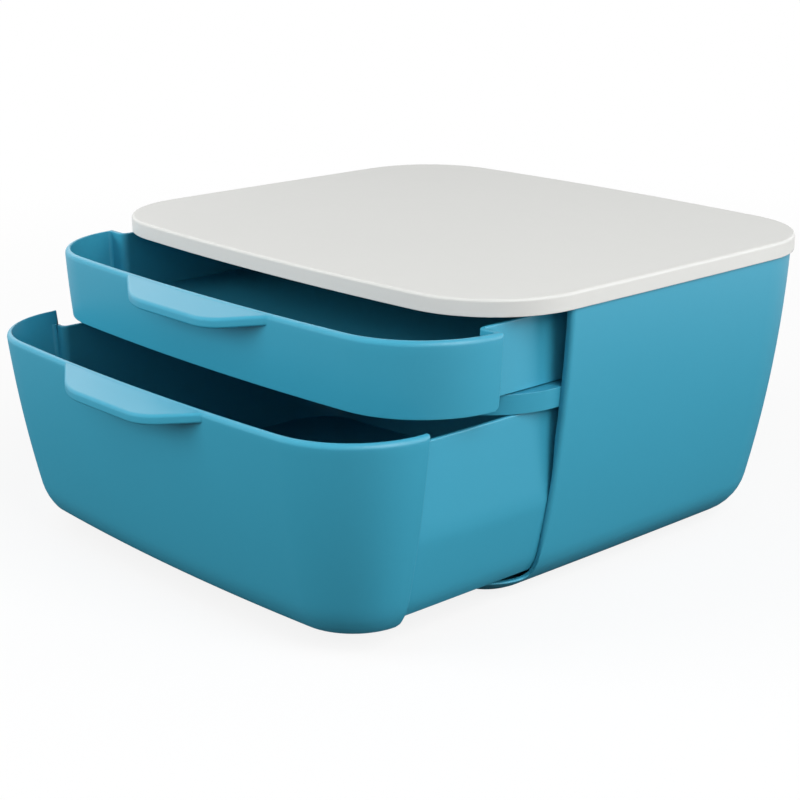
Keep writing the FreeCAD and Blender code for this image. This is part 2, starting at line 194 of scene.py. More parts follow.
def height_at(inset, shift, low, high):
    """Height between low and high where a wall's lean is shift."""
    halvings = 30
    for _ in range(halvings):
        middle = (low + high) / 2
        if lean(inset, middle) > shift:
            low = middle
        else:
            high = middle
    return (low + high) / 2


def front_point(part, shift):
    """Point on the bowed front: part 0 is its middle and part 1 its end, where the corner starts."""
    angle = -math.pi / 2 + part * (FRONT_END + math.pi / 2)
    reach = FRONT_BOW - shift
    return (FRONT_CENTRE[0] + reach * math.cos(angle), FRONT_CENTRE[1] + reach * math.sin(angle))


def corner_point(angle, shift):
    reach = CORNER - shift
    return (CORNER_X + reach * math.cos(angle), CORNER_Y + reach * math.sin(angle))


def to_back(point):
    """The same point of the body's outline on the back half."""
    return (point[0], -point[1])


def wall_x(y, shift):
    """X of the right wall at y, from the front corner to the back corner."""
    y = -abs(y)
    if y < CORNER_Y + (CORNER - shift) * math.sin(SIDE_START):
        return CORNER_X + math.sqrt(max((CORNER - shift) ** 2 - (y - CORNER_Y) ** 2, 0.0))
    return SIDE_CENTRE[0] + math.sqrt((SIDE_BOW - shift) ** 2 - y ** 2)


def back_y(x, shift):
    return math.sqrt((FRONT_BOW - shift) ** 2 - x ** 2) - FRONT_CENTRE[1]


# ---------------------------------------------------------------- wall rings

FRONT_STEPS, CORNER_STEPS, SIDE_STEPS = 10, 16, 6   # columns along the plan's stretches
OUTER_STEPS, INNER_STEPS = 5, 3                     # points round a rim


class Column:
    """One upright section of a wall: its outer and inner line and its two ends."""

    def __init__(self, outer, inner, low, top, round_out, round_in, bend=None, plan=None):
        self.outer, self.inner = outer, inner
        self.low, self.top = low, top
        self.round_out, self.round_in = round_out, round_in
        self.bend = bend            # heights (outer, inner) where a wall changes direction
        self.plan = plan            # point of the floor's outline for a wall's lean

    def mirrored(self):
        def flip(line):
            return line and (lambda value: (-line(value)[0], line(value)[1]))
        return Column(flip(self.outer), flip(self.inner), self.low, self.top,
                      self.round_out, self.round_in, self.bend, flip(self.plan))

    def section(self, rows):
        """Points up the outside, over the rounded rim and down the inside."""
        outer_rows, inner_rows = rows(self.bend)
        end_out, end_in = self.top - self.round_out, self.top - self.round_in
        rim_out, rim_in = self.outer(end_out), self.inner(end_in)
        away = math.hypot(rim_in[0] - rim_out[0], rim_in[1] - rim_out[1]) or 1.0
        to_in = ((rim_in[0] - rim_out[0]) / away, (rim_in[1] - rim_out[1]) / away)

        def rim_point(start, way, radius, end, part):
            across, up = quarter(part)
            shift = way * radius * across
            return (start[0] + to_in[0] * shift, start[1] + to_in[1] * shift, end + radius * up)

        up_outside = [clamp(z, self.low, end_out) for z in outer_rows]
        down_inside = [clamp(z, self.low, end_in) for z in reversed(inner_rows)]
        return ([(*self.outer(z), z) for z in up_outside]
                + [rim_point(rim_out, 1, self.round_out, end_out, step / OUTER_STEPS)
                   for step in range(1, OUTER_STEPS + 1)]
                + [rim_point(rim_in, -1, self.round_in, end_in, step / INNER_STEPS)
                   for step in range(INNER_STEPS, 0, -1)]
                + [(*self.inner(z), z) for z in down_inside])


def ring_faces(sections):
    """Vertices and faces of a closed ring through the sections."""
    count = len(sections[0])
    points = [point for section in sections for point in section]
    faces = []
    for index in range(len(sections)):
        here, there = index * count, (index + 1) % len(sections) * count
        for row in range(count):
            above = (row + 1) % count
            faces.append((here + row, there + row, there + above, here + above))
    return points, faces


def whole_ring(half):
    """Right half, from the front's middle to the back's middle, and its mirror image."""
    return half + [column.mirrored() for column in reversed(half[1:-1])]


def plate(outline_low, outline_high, z_low, z_high):
    """Closed plate between two outlines with the same number of points."""
    count = len(outline_low)
    points = [(x, y, z_low) for x, y in outline_low] + [(x, y, z_high) for x, y in outline_high]
    faces = [(index, (index + 1) % count, count + (index + 1) % count, count + index)
             for index in range(count)]
    faces += [tuple(reversed(range(count))), tuple(range(count, 2 * count))]
    return points, faces


def joined(*forms):
    """Several lists of points and faces as one."""
    points, faces = [], []
    for more_points, more_faces in forms:
        base = len(points)
        points += more_points
        faces += [tuple(base + index for index in face) for face in more_faces]
    return points, faces


def clean_mesh(name, points, faces):
    """Mesh object in metres with doubled points merged, flat slivers gone and sharp edges marked."""
    mesh = bpy.data.meshes.new(name)
    mesh.from_pydata([(x * MM, y * MM, z * MM) for x, y, z in points], [], faces)
    form = bmesh.new()
    form.from_mesh(mesh)
    bmesh.ops.remove_doubles(form, verts=form.verts, dist=2e-6)
    bmesh.ops.dissolve_degenerate(form, edges=form.edges, dist=1e-6)
    form.to_mesh(mesh)
    form.free()
    mesh.shade_smooth()
    mesh.set_sharp_from_angle(angle=math.radians(32.0))
    piece = bpy.data.objects.new(name, mesh)
    bpy.context.scene.collection.objects.link(piece)
    return piece


def even_normals(piece):
    """Keeps flat faces flat beside rounded edges."""
    modifier = piece.modifiers.new("even normals", "WEIGHTED_NORMAL")
    modifier.keep_sharp = True
    modifier.weight = 80


# ---------------------------------------------------------------- drawers: heights and lines

TRAY_WALL, TRAY_FRONT, TRAY_FLOOR = 2.5, 3.5, 2.5
BOX_HALF, BOX_BACK = 167.2, 146.0   # the box behind the front: half its width, and its back
BOX_INSET = 3.4                     # from the body's leaning wall to the box's
JOG = 3.0                           # thickness of the step from the wrapped front to the box
CORNER_LOW = 4.0                    # rounding of the wrapped front's lower back corner
WING_ROUND, WING_ROUND_IN = 1.0, 2.6    # rounding of the wing's end, seen from above
FILLET = 2.2                        # rounding between the jog and the box
NO_ROUND = 0.02
WING_SHARE, WING_SHARE_IN, FILLET_SHARE = 0.25, 0.4, 0.45   # most of the room each of them takes
ROUND_FADE, ROUND_LEAST = 0.9, 0.02     # height under the box where the wing's inner one shrinks, and
                                        # the least share that is left of it
STEP_ROW = 0.02                     # height of the row just above a step in the rim
STRIP_SHARE, STRIP_SHARE_IN = 0.6, 0.04     # shares of the jog in the strip beside a step, out and in
STRIP_DEPTH = 0.3                   # the strip's thickness
STRIP_SHORT = 0.25                  # how much narrower it is than the front is thick, at least
STOP_HALF, STOP_RISE = 12.0, 6.5    # stop tab at the back: half its width, and its rise


def rounding(radius, share, room):
    """radius, or less where share of the room is less."""
    return radius * min(1.0, share * room / radius)


class TrayShape:
    """Heights of one drawer, and the lines of its walls. A wing is the front's wrapped end."""

    def __init__(self, front_low, box_low, wall_top, rim, forward):
        self.front_low, self.box_low = front_low, box_low
        self.wall_top, self.rim, self.forward = wall_top, rim, forward
        self.floor = box_low + TRAY_FLOOR
        self.stepped = wall_top < rim
        self.wing_bend = self.side_bend(WING_END)

    # Bends and rows

    def bend_at(self, room):
        """Heights where the leaning wall meets the upright one, outside and inside."""
        return tuple(
            clamp(height_at(BOX_INSET + wall, room + wall, self.box_low, self.wall_top),
                  self.box_low + 1, self.wall_top - 1) for wall in (0.0, TRAY_WALL))

    def side_bend(self, y):
        bow = SIDE_BOW - math.sqrt(SIDE_BOW ** 2 - y ** 2)
        return self.bend_at(BODY_WIDTH / 2 - BOX_HALF - bow)

    def back_bend(self, x):
        bow = FRONT_BOW - math.sqrt(FRONT_BOW ** 2 - x ** 2)
        return self.bend_at(BODY_DEPTH / 2 - BOX_BACK - bow)

    def rows(self, bend):
        """Heights of the mesh rows, outside and inside. A row follows the bend."""
        lists = []
        for turn in bend:
            heights = [blend(self.front_low, self.box_low, step / 4) for step in range(4)]
            heights += [blend(self.box_low, turn, (step / 10) ** 1.2) for step in range(10)]
            heights += [blend(turn, self.wall_top, step / 7) for step in range(8)]
            if self.stepped:
                heights += [self.wall_top + STEP_ROW, blend(self.wall_top, self.rim, 0.4), self.rim]
            lists.append(heights)
        return lists

    # The box

    def box_sizes(self, inner):
        """Half width, back and inset of the box, on its outside or its inside."""
        wall = TRAY_WALL if inner else 0.0
        return BOX_HALF - wall, BOX_BACK - wall, BOX_INSET + wall

    def box_x(self, y, z, inner=False):
        half, _, inset = self.box_sizes(inner)
        return min(half, wall_x(y, lean(inset, z)))

    def back_corner(self, part, z, inner):
        """Point on the box's back corner, from the upright side (part 0) to the back (part 1)."""
        half, back, inset = self.box_sizes(inner)
        reach = CORNER - lean(inset, z)
        side_end = max(math.acos(min((half - CORNER_X) / reach, 1.0)), -SIDE_START)
        back_start = min(math.asin(min((back + CORNER_Y) / reach, 1.0)), -FRONT_END)
        return to_back(corner_point(-blend(side_end, back_start, part), lean(inset, z)))

    def side_point(self, part, z, inner):
        y = blend(WING_END + FILLET, self.back_corner(0.0, z, inner)[1], part)
        return (self.box_x(y, z, inner), y)

    def back_point(self, part, x_stop, z, inner):
        _, back, inset = self.box_sizes(inner)
        x = blend(self.back_corner(1.0, z, inner)[0], x_stop, part)
        return (x, min(back, back_y(x, lean(inset, z))))

    # The front and its wings

    def above_step(self, z):
        return self.stepped and z > self.wall_top + STEP_ROW / 2

    def low_end(self, y):
        """Lower edge of the front, which rounds up at the wing's end."""
        into = y - (WING_END - CORNER_LOW)
        if into <= 0:
            return self.front_low
        return self.front_low + CORNER_LOW - math.sqrt(max(CORNER_LOW ** 2 - into ** 2, 0.0))

    def room(self, z):
        """How far the wing's end stands out from the box."""
        return wall_x(WING_END, lean(0, z)) - self.box_x(WING_END, z)

    def wing_radius(self, z):
        return rounding(WING_ROUND, WING_SHARE, self.room(z))

    def wing_radius_in(self, z):
        if self.above_step(z):
            return NO_ROUND
        room = wall_x(WING_END, lean(TRAY_FRONT, z)) - self.box_x(WING_END, z, True)
        fade = clamp((z - self.box_low + ROUND_FADE) / ROUND_FADE, ROUND_LEAST)
        return rounding(WING_ROUND_IN, WING_SHARE_IN, room) * fade

    def wing_end_in(self, z):
        """Y of the wing's inside end."""
        return WING_END - (STRIP_DEPTH if self.above_step(z) else JOG)

    def corner_line(self, part, z, inner):
        stop = SIDE_START
        if inner:
            reach = CORNER - lean(TRAY_FRONT, z)
            into = self.wing_end_in(z) - self.wing_radius_in(z) - CORNER_Y
            stop = min(math.asin(into / reach), SIDE_START)
        return corner_point(blend(FRONT_END, stop, part), lean(TRAY_FRONT * inner, z))

    def wing_outer(self, part, z):
        start = CORNER_Y + (CORNER - lean(0, z)) * math.sin(SIDE_START)
        y = blend(start, WING_END - WING_ROUND, part)
        return (wall_x(y, lean(0, z)), y)

    def wing_inner(self, part, z):
        radius = self.wing_radius_in(z)
        across, along = quarter(part)
        y = self.wing_end_in(z) - radius + radius * along
        return (wall_x(y, lean(TRAY_FRONT, z)) - radius * across, y)

    def wing_edge(self, part, z):
        """Outside of the wing's rounded back edge."""
        across, along = quarter(part)
        y = WING_END - WING_ROUND + WING_ROUND * along
        return (wall_x(y, lean(0, z)) - self.wing_radius(z) * across, y)

    # The jog between a wing and the box

    def fillet_radius(self, z):
        return rounding(FILLET, FILLET_SHARE, self.room(z))

    def fillet_start(self, z):
        return self.box_x(WING_END, z) + self.fillet_radius(z)

    def strip_end(self, z):
        """Point where the strip that stays up beside a step in the rim ends."""
        edge = wall_x(WING_END, lean(0, z))
        strip = blend(self.wing_radius(z), edge - self.fillet_start(z), STRIP_SHARE)
        return (edge - min(TRAY_FRONT - STRIP_SHORT, strip), WING_END)

    def jog_outer(self, part, z):
        edge = wall_x(WING_END, lean(0, z))
        start = self.strip_end(z)[0] if self.stepped else edge - self.wing_radius(z)
        return (blend(start, self.fillet_start(z), part), WING_END)

    def jog_inner(self, part, z):
        """Inside of the jog, from the wing's inner corner towards the box."""
        start = wall_x(self.wing_end_in(z), lean(TRAY_FRONT, z)) - self.wing_radius_in(z)
        share = 0.0 if self.above_step(z) else part
        return (blend(start, min(start, self.fillet_start(z)), share), self.wing_end_in(z))

    def fillet_outer(self, part, z):
        back, away = quarter(part)
        return (self.box_x(WING_END, z) + self.fillet_radius(z) * (1 - away),
                WING_END + FILLET * back)

    def fillet_inner(self, part, z):
        back, away = quarter(part)
        end = self.box_x(WING_END + FILLET, z, True)
        return (end + (self.jog_inner(1.0, z)[0] - end) * (1 - away),
                WING_END - JOG + (JOG + FILLET) * back)


# ---------------------------------------------------------------- drawers: meshes

FRONT_RIM, WING_RIM, END_RIM, BOX_RIM = 3.0, 2.2, 1.0, 0.9      # roundings of the rims, outside
FRONT_RIM_IN, STRIP_RIM, STRIP_RIM_IN = 0.4, 0.1, 0.05
BEHIND_EDGE = 0.02                  # share of the jog that lies behind the wing's rounded edge
EDGE_STEPS, FILLET_STEPS = 4, 6     # columns round the wing's edge and the fillet
BOX_STEPS, BOX_CORNER_STEPS, BACK_STEPS = 8, 10, 6


def front_column(tray, outer, inner, low=None, rim=FRONT_RIM):
    """Column of a drawer's front or wing."""
    low = tray.front_low if low is None else low
    return Column(outer, inner, low, tray.rim, rim, FRONT_RIM_IN, tray.wing_bend)


def box_column(tray, outer, inner, bend, low=None, top=None):
    """Column of a drawer's box, or of the jog beside it."""
    low, top = low or tray.box_low, top or tray.wall_top
    return Column(outer, inner, low, top, BOX_RIM, BOX_RIM, bend)


def both_sides(line):
    """Outer and inner line of a wall, from a line that takes a height and whether it is inside."""
    return (lambda z: line(z, False)), (lambda z: line(z, True))


def front_columns(tray):
    """The bowed front and its corner, up to where the side starts."""
    columns = []
    for step in range(FRONT_STEPS):
        columns.append(front_column(tray, *both_sides(
            lambda z, inner, part=step / FRONT_STEPS:
                front_point(part, lean(TRAY_FRONT * inner, z)))))
    for step in range(CORNER_STEPS + 1):
        columns.append(front_column(tray, *both_sides(
            lambda z, inner, part=step / CORNER_STEPS: tray.corner_line(part, z, inner))))
    return columns


def wing_columns(tray):
    """The wing along the side, and its rounded back edge."""
    columns = []
    for part in parts(SIDE_STEPS):
        low = tray.low_end(blend(CORNER_Y, WING_END - WING_ROUND, part))
        columns.append(front_column(
            tray, lambda z, part=part: tray.wing_outer(part, z),
            lambda z, part=part: tray.wing_inner(part, z), low, blend(FRONT_RIM, WING_RIM, part)))
    for part in parts(EDGE_STEPS):
        low = tray.low_end(WING_END - WING_ROUND * (1 - quarter(part)[1]))
        columns.append(front_column(
            tray, lambda z, part=part: tray.wing_edge(part, z),
            lambda z, part=part: tray.jog_inner(part * BEHIND_EDGE, z), low,
            blend(WING_RIM, END_RIM, part)))
    return columns


def step_columns(tray):
    """Both sides of the step where the rim drops from the wing to the box."""
    low = tray.low_end(WING_END)
    beside, over = 1.2, 0.5     # how near the wall's top counts, and the height read there

    def inner(z):
        return tray.jog_inner(STRIP_SHARE_IN, z)

    def inner_under(z):
        return inner(tray.wall_top + over if z > tray.wall_top - beside else z)

    return [Column(tray.strip_end, inner, low, tray.rim, STRIP_RIM, STRIP_RIM_IN, tray.wing_bend),
            box_column(tray, tray.strip_end, inner_under, tray.wing_bend, low)]


def jog_columns(tray):
    """The jog from the wing to the box, and the fillet beside the box."""
    columns = step_columns(tray) if tray.stepped else []
    first = STRIP_SHARE_IN if tray.stepped else 0.0
    for part in (0.35, 0.7, 1.0):
        low = blend(tray.low_end(WING_END), tray.box_low, part)
        columns.append(box_column(
            tray, lambda z, part=part: tray.jog_outer(part, z),
            lambda z, part=blend(first, 1.0, part): tray.jog_inner(part, z),
            tray.wing_bend, low))
    for part in parts(FILLET_STEPS):
        columns.append(box_column(
            tray, lambda z, part=part: tray.fillet_outer(part, z),
            lambda z, part=part: tray.fillet_inner(part, z), tray.wing_bend))
    return columns


def box_columns(tray):
    """The box's side and back corner, and its back with half of the stop tab."""
    columns = []
    for part in parts(BOX_STEPS):
        columns.append(box_column(
            tray, *both_sides(lambda z, inner, part=part: tray.side_point(part, z, inner)),
            tray.side_bend(blend(WING_END, -CORNER_Y, part))))
    side_turn, back_turn = tray.side_bend(-CORNER_Y), tray.back_bend(CORNER_X)
    for part in parts(BOX_CORNER_STEPS):
        columns.append(box_column(
            tray, *both_sides(lambda z, inner, part=part: tray.back_corner(part, z, inner)),
            tuple(blend(a, b, part) for a, b in zip(side_turn, back_turn))))
    stop_top = tray.wall_top + STOP_RISE
    ends = [(part, STOP_HALF, tray.wall_top) for part in parts(BACK_STEPS)]
    for part, x_stop, top in ends + [(1.0, STOP_HALF, stop_top), (1.0, 0.0, stop_top)]:
        columns.append(box_column(
            tray, *both_sides(lambda z, inner, part=part, x_stop=x_stop:
                              tray.back_point(part, x_stop, z, inner)),
            tray.back_bend(blend(CORNER_X, x_stop, part)), top=top))
    return columns


# ---------------------------------------------------------------- drawers: pull tab and whole

TAB_BELOW_RIM, TAB_THICKNESS, TAB_EDGE = 1.0, 6.3, 1.8
TAB_REACH, TAB_DIP = 18.35, 4.2     # how far it stands out, and how much lower it ends
TAB_INTO_WALL = 3.2
TAB_HALF, TAB_SPREAD = 36.5, 28.0   # half its front width, and how much wider each side gets
TAB_CORNER = 44.0
TAB_STEPS = 5                       # strips round its upper and its lower edge


def line_crossing(first, second):
    """Where two lines, each a point and a unit direction, meet, and the sine of their turn."""
    (start, before), (near, after) = first, second
    cross = before[0] * after[1] - before[1] * after[0]
    reach = ((near[0] - start[0]) * after[1] - (near[1] - start[1]) * after[0]) / cross
    return (start[0] + before[0] * reach, start[1] + before[1] * reach), cross


def rounded_outline(corners, radii, inset):
    """Outline through convex corners, set in by inset, with each corner rounded."""
    steps = 9
    lines = []
    for (x0, y0), (x1, y1) in zip(corners, corners[1:] + corners[:1]):
        length = math.hypot(x1 - x0, y1 - y0)
        along = ((x1 - x0) / length, (y1 - y0) / length)
        lines.append(((x0 - along[1] * inset, y0 + along[0] * inset), along))
    points = []
    for index, corner_radius in enumerate(radii):
        before = lines[index - 1][1]
        (x, y), cross = line_crossing(lines[index - 1], lines[index])
        radius = max(corner_radius - inset, 0.0)
        if not radius:
            points.append((x, y))
            continue
        turn = math.asin(min(cross, 1.0))
        back = radius * math.tan(turn / 2)
        centre = (x - before[0] * back - before[1] * radius,
                  y - before[1] * back + before[0] * radius)
        for step in range(steps + 1):
            angle = math.atan2(before[1], before[0]) - math.pi / 2 + turn * step / steps
            points.append((centre[0] + radius * math.cos(angle),
                           centre[1] + radius * math.sin(angle)))
    return points


def pull_tab(tray):
    """Points and faces of a drawer's pull tab, which slopes down towards its front edge."""
    top = tray.rim - TAB_BELOW_RIM
    front_y = -BODY_DEPTH / 2 + lean(0, top)
    root_y = front_y + TAB_INTO_WALL
    root_half = TAB_HALF + TAB_SPREAD * (TAB_INTO_WALL + TAB_REACH) / TAB_REACH
    corners = [(-root_half, root_y), (-TAB_HALF, front_y - TAB_REACH),
               (TAB_HALF, front_y - TAB_REACH), (root_half, root_y)]
    turns = [quarter(step / TAB_STEPS) for step in range(TAB_STEPS + 1)]
    levels = [(TAB_EDGE * (1 - up), top - TAB_THICKNESS + TAB_EDGE * across)
              for across, up in turns]
    levels += [(TAB_EDGE * across, top - TAB_EDGE + TAB_EDGE * up) for across, up in turns]
    points, rings = [], []
    for inset, z in levels:
        outline = rounded_outline(corners, (0.0, TAB_CORNER, TAB_CORNER, 0.0), inset)
        rings.append(range(len(points), len(points) + len(outline)))
        points += [(x, y, z - TAB_DIP * (front_y - y) / TAB_REACH) for x, y in outline]
    count = len(rings[0])
    faces = []
    for low, high in zip(rings, rings[1:]):
        for index in range(count):
            after = (index + 1) % count
            faces.append((low[index], low[after], high[after], high[index]))
    # The flat sides are made of strips across the tab, so that they follow its slope.
    for ring, flip in ((rings[0], True), (rings[-1], False)):
        for index in range(count // 2 - 1):
            face = (ring[index], ring[index + 1], ring[count - 2 - index], ring[count - 1 - index])
            faces.append(tuple(reversed(face)) if flip else face)
    return points, faces


def tray_mesh(name, tray):
    """A drawer's wall, floor and pull tab as one object, moved forward to where it rests."""
    ring = whole_ring(front_columns(tray) + wing_columns(tray) + jog_columns(tray)
                      + box_columns(tray))
    wall = ring_faces([column.section(tray.rows) for column in ring])

    def middle_line(z):
        line = []
        for column in ring:
            (x0, y0), (x1, y1) = column.outer(z), column.inner(z)
            line.append(((x0 + x1) / 2, (y0 + y1) / 2))
        return line

    low_z = tray.box_low + 0.05     # a little up, so that it doesn't lie in the wall's lower end
    floor = plate(middle_line(low_z), middle_line(tray.floor), low_z, tray.floor)
    points, faces = joined(wall, floor, pull_tab(tray))
    piece = clean_mesh(name, [(x, y - tray.forward, z) for x, y, z in points], faces)
    even_normals(piece)
    return piece


# ---------------------------------------------------------------- shell

SHELL_WALL = 2.6
BASE_RIM = 13.5                     # top of the low front
RISE = 4.0                          # where the base rim turns up into the seam
RIM_OUT, RIM_IN = 0.6, 0.5          # roundings of the high rim
BASE_OUT, BASE_IN = 1.0, 0.5        # and of the low one
LIP_ROUND, LIP_EXTRA = 2.6, 1.7     # the seam's rounded lip: its corner, and its added depth
LIP_BACK, LIP_END = 2.4, 4.0        # how far back from the seam its depth holds, and ends
LIP_ROUND_WHOLE = 52.0              # height from which its corner is fully round
LIP_WIDENS = (80.0, 104.0)          # heights between which its depth grows
FLAT_EDGE = 1.5                     # width of the flat strip inside the turned-under wall
SHARP = 0.001
LIP_STEPS, FADE_STEPS = 7, 3        # columns round the lip, and along the fade of its depth
LIP_FLOOR, FADE_FLOOR = 0.2, 0.85   # spacing of the floor's points under them
LIP_FLOOR_END = 1.4                 # where the first of them end
HIGH_STEPS = 10                     # columns along the side behind the lip


def shell_rows():
    """Heights of the shell's rows: close together where the wall turns under, one at the rise."""
    low = [LOW_CENTRE[1] - LOW_CURVE * math.sin(blend(math.pi / 2, TURN, step / 10))
           for step in range(11)]
    rise = BASE_RIM + RISE
    wall = [45.0, 58.0, 70.0, 78.0, 86.0, 95.0, 104.0, 118.0, 132.0, 145.0, 158.0, 170.0, BODY_TOP]
    return sorted([z for z in low if abs(z - rise) > 1.0] + [rise] + wall)


def lip_round(z):
    """Rounding on the outer corner of the shell's front edge."""
    return SHARP + LIP_ROUND * ease(z, BASE_RIM + RISE, LIP_ROUND_WHOLE)


def lip_depth(z):
    """Width of the shell's front edge."""
    return SHELL_WALL + LIP_EXTRA * ease(z, *LIP_WIDENS)


def wall_column(plan, top, out, into):
    """Column of the shell's wall, which stands on plan: a point for each lean."""
    return Column(lambda z: plan(lean(0, z)), lambda z: plan(lean(SHELL_WALL, z)),
                  BODY_LOW, top, out, into, plan=plan)


def side_plan(y):
    return lambda shift: (wall_x(y, shift), y)


def base_columns():
    """The low front, its corner and its rise to the seam."""
    plans = [lambda shift, part=step / FRONT_STEPS: front_point(part, shift)
             for step in range(FRONT_STEPS)]
    plans += [lambda shift, angle=blend(FRONT_END, SIDE_START, step / CORNER_STEPS):
              corner_point(angle, shift) for step in range(CORNER_STEPS + 1)]
    columns = [wall_column(plan, BASE_RIM, BASE_OUT, BASE_IN) for plan in plans]
    for part in parts(SIDE_STEPS):
        up, back = quarter(part)
        columns.append(wall_column(
            side_plan(SEAM - RISE + RISE * back), BASE_RIM + RISE * up,
            max(BASE_OUT * (1 - part), SHARP), max(BASE_IN * (1 - part), SHARP)))
    return columns


def lip_column(outer, inner, floor_y):
    return Column(outer, inner, BODY_LOW, BODY_TOP, RIM_OUT, RIM_IN, plan=side_plan(floor_y))


def lip_columns():
    """The shell's front edge: its rounded corner, and the fade of its added depth."""
    columns = []
    for step in range(LIP_STEPS + 1):
        part = step / LIP_STEPS

        def outer(z, part=part):
            out, along = quarter(1 - part)
            y = SEAM + lip_round(z) * (1 - along)
            return (wall_x(y, lean(lip_round(z) * out, z)), y)

        def inner(z, part=part):
            y = SEAM + LIP_BACK * part
            return (wall_x(y, lean(lip_depth(z), z)), y)

        columns.append(lip_column(outer, inner, SEAM + LIP_FLOOR * step))
    for step, part in enumerate(parts(FADE_STEPS), 1):
        def outer(z, part=part):
            y = SEAM + blend(lip_round(z), LIP_END, part)
            return (wall_x(y, lean(0, z)), y)

        def inner(z, part=part):
            y = SEAM + blend(LIP_BACK, LIP_END, part)
            depth = blend(lip_depth(z), SHELL_WALL, quarter(part)[1])
            return (wall_x(y, lean(depth, z)), y)

        columns.append(lip_column(outer, inner, SEAM + LIP_FLOOR_END + FADE_FLOOR * step))
    return columns


def high_columns():
    """The side behind the lip, the back corner and the back."""
    plans = [side_plan(blend(SEAM + LIP_END, -CORNER_Y, part)) for part in parts(HIGH_STEPS)]
    plans += [lambda shift, angle=blend(-SIDE_START, -FRONT_END, part):
              to_back(corner_point(-angle, shift)) for part in parts(CORNER_STEPS)]
    plans += [lambda shift, part=1 - part: to_back(front_point(part, shift))
              for part in parts(FRONT_STEPS)]
    return [wall_column(plan, BODY_TOP, RIM_OUT, RIM_IN) for plan in plans]


def seam_cap(base, first, rows, count):
    """Faces of the front edge between the outer and the inner side of one column."""
    cap = [(base + row, base + row + 1, base + count - 2 - row, base + count - 1 - row)
           for row in range(first + 1, rows)]
    return cap + [tuple(range(base + rows, base + count - rows))]


def shell_mesh(name):
    """The shell: its floor, the low front and the high sides and back, with a rounded seam."""
    low_part = base_columns()
    ring = whole_ring(low_part + lip_columns() + high_columns())
    heights = shell_rows()
    inner_low = BODY_LOW + SHELL_WALL
    sections = []
    for column in ring:
        wall = column.section(lambda _: (heights, [max(z, inner_low) for z in heights]))
        outside = (*column.plan(lean(0, BODY_LOW) + FLAT_EDGE), BODY_LOW)
        inside = (*column.plan(lean(SHELL_WALL, inner_low) + FLAT_EDGE), inner_low)
        sections.append([outside] + wall + [inside])

    first, rows = heights.index(BASE_RIM + RISE), len(heights)
    count, total = len(sections[0]), len(ring)
    points = [point for section in sections for point in section]
    faces = []
    right_seam, left_seam = len(low_part) - 1, total - len(low_part)
    for index in range(total):
        here, there = index * count, (index + 1) % total * count
        at_seam = index in (right_seam, left_seam)
        for row in range(count - 1):
            if not (at_seam and first + 1 <= row < count - 2 - first):
                faces.append((here + row, there + row, there + row + 1, here + row + 1))
        if index == right_seam:
            faces += seam_cap(there, first, rows, count)
        elif index == left_seam:
            faces += [tuple(reversed(face)) for face in seam_cap(here, first, rows, count)]
    faces.append(tuple(index * count for index in reversed(range(total))))
    faces.append(tuple(index * count + count - 1 for index in range(total)))
    piece = clean_mesh(name, points, faces)
    even_normals(piece)
    return piece


RUNNER_X, RUNNER_TOP = 95.0, 18.0
RUNNER_LOW, RUNNER_HIGH = (1.5, 108.0), (1.4, 118.0)    # half width and half length at each end
RUNNER_SUNK = 1.0                                       # how deep it stands in the shell's floor


def runner_mesh(name):
    """The two ribs on the shell's floor that the lower drawer slides on."""
    forms = []
    for x in (-RUNNER_X, RUNNER_X):
        low, high = [[(x - half, -length), (x + half, -length), (x + half, length),
                      (x - half, length)] for half, length in (RUNNER_LOW, RUNNER_HIGH)]
        forms.append(plate(low, high, BODY_LOW + SHELL_WALL - RUNNER_SUNK, RUNNER_TOP))
    return clean_mesh(name, *joined(*forms))


# ---------------------------------------------------------------- nodes

def add(tree, kind, inputs=None, **settings):
    """New node with its settings made. inputs gives its sockets a value or another's output."""
    node = tree.nodes.new(kind)
    for key, value in settings.items():
        setattr(node, key, value)
    for label, value in (inputs or {}).items():
        if isinstance(value, bpy.types.NodeSocket):
            tree.links.new(value, node.inputs[label])
        else:
            node.inputs[label].default_value = value
    return node


def maths(tree, operation, first, second):
    return add(tree, "ShaderNodeMath", {0: first, 1: second}, operation=operation).outputs[0]


def new_socket(group, label, kind, default=None, way="INPUT"):
    socket = group.interface.new_socket(label, in_out=way, socket_type=kind)
    if default is not None:
        socket.default_value = default
    return socket


# ---------------------------------------------------------------- geometry nodes, in metres

